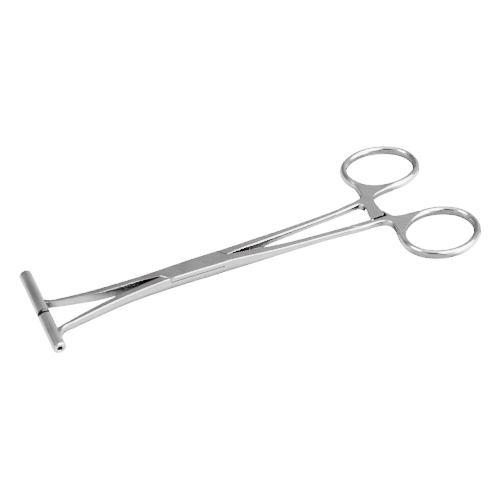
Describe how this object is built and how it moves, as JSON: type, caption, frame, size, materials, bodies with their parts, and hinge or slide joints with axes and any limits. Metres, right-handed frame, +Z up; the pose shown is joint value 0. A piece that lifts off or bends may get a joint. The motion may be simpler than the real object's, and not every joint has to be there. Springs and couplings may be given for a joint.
{
  "type": "piercing forceps",
  "caption": "Ring-handled box-lock forceps whose jaws end in in-line guide tubes that lead a piercing needle across them.",
  "frame": {"origin": "under the middle of the whole instrument, on the surface that the underside of the box lock rests on", "axes": "+X along the instrument from the guide tubes to the finger rings, +Y across it towards the half with the longer tube, +Z up, along the hinge pin"},
  "size_m": [0.165, 0.0684, 0.0053],
  "materials": {
    "forged_steel": "satin flats with polished sides and rings",
    "pin_steel": "ground flush, satin",
    "tube_steel": "satin, brushed lengthwise"
  },
  "bodies": {
    "female": {"female_half": "forged_steel", "box_lock_pin": "pin_steel", "far_tube": "tube_steel"},
    "male": {"male_half": "forged_steel", "near_tube": "tube_steel"}
  },
  "joints": [
    {"name": "box_lock", "type": "hinge", "parent": "female", "child": "male", "pos_m": [-0.02487, 0, 0.00265], "axis": [0, 0, 1], "range_deg": [-0.3, 45]}
  ]
}
